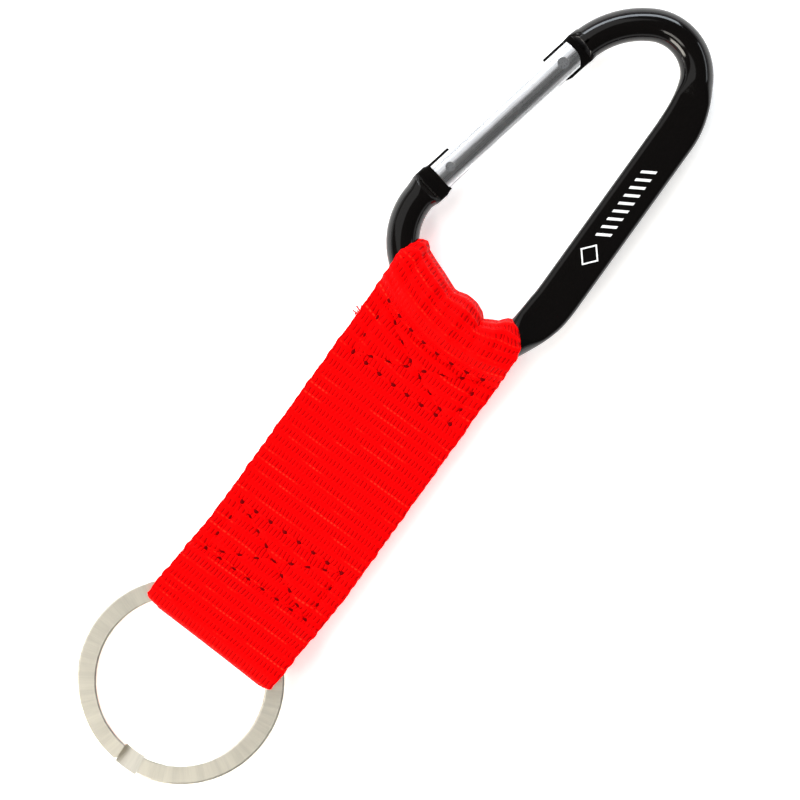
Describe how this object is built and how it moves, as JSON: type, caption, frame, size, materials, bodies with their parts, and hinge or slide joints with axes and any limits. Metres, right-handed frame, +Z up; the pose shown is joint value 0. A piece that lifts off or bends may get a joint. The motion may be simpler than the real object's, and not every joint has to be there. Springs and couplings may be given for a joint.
{
  "type": "carabiner keyring",
  "caption": "Black bent-rod carabiner with a sprung silver gate, a doubled red webbing strap sewn round its base, and a flat split key ring at the strap's other end.",
  "frame": {"origin": "middle of the overall length and width, on the surface the keyring lies on", "axes": "+X across the strap towards the carabiner's spine, +Y from the key ring to the carabiner, +Z up out of the flat side"},
  "size_m": [0.034, 0.1511, 0.0094],
  "materials": {
    "black_anodised": "glossy black anodised rod, pressed flat along the spine",
    "bright_aluminium": "polished natural aluminium, fine lengthwise lines",
    "pin_steel": "plain steel pin, ends filed flush",
    "spring_steel": "drawn spring wire",
    "red_webbing": "close-ribbed red woven webbing, slight sheen",
    "red_thread": "red polyester sewing thread",
    "ring_steel": "nickel-plated flat steel wire, fine lines across the band"
  },
  "bodies": {
    "carabiner": {"frame": "black_anodised"},
    "gate": {"gate": "bright_aluminium", "pivot_rivet": "pin_steel", "latch_pin": "pin_steel", "gate_spring": "spring_steel"},
    "plunger": {"gate_plunger": "pin_steel"},
    "strap_top": {"webbing_upper": "red_webbing", "upper_needle_thread": "red_thread", "upper_bobbin_thread": "red_thread"},
    "strap_bottom": {"webbing_lower": "red_webbing", "lower_needle_thread": "red_thread", "lower_bobbin_thread": "red_thread"},
    "ring": {"split_ring": "ring_steel"}
  },
  "joints": [
    {"name": "gate_open", "type": "hinge", "parent": "carabiner", "child": "gate", "pos_m": [-0.00798, 0.0581, 0.0047], "axis": [0, 0, 1], "range_deg": [0, 38], "stiffness_Nm_per_rad": 0.03, "springref_deg": -40.11},
    {"name": "plunger_travel", "type": "slide", "parent": "gate", "child": "plunger", "axis": [-0.2028, -0.9792, 0], "range_m": [0, 0.0008]},
    {"name": "strap_flap", "type": "hinge", "parent": "carabiner", "child": "strap_top", "pos_m": [0.00098, 0.01258, 0.0047], "axis": [1, 0, 0], "range_deg": [-6, 6]},
    {"name": "strap_bend", "type": "hinge", "parent": "strap_top", "child": "strap_bottom", "pos_m": [0.00098, -0.0142, 0.0047], "axis": [1, 0, 0], "range_deg": [-45, 45]},
    {"name": "ring_spin", "type": "hinge", "parent": "strap_bottom", "child": "ring", "pos_m": [0.00008, -0.0587, 0.0047], "axis": [0, 0, 1], "continuous": true}
  ],
  "couplings": [
    {"joint": "plunger_travel", "follows": "gate_open", "m_per_rad": 0.001}
  ]
}
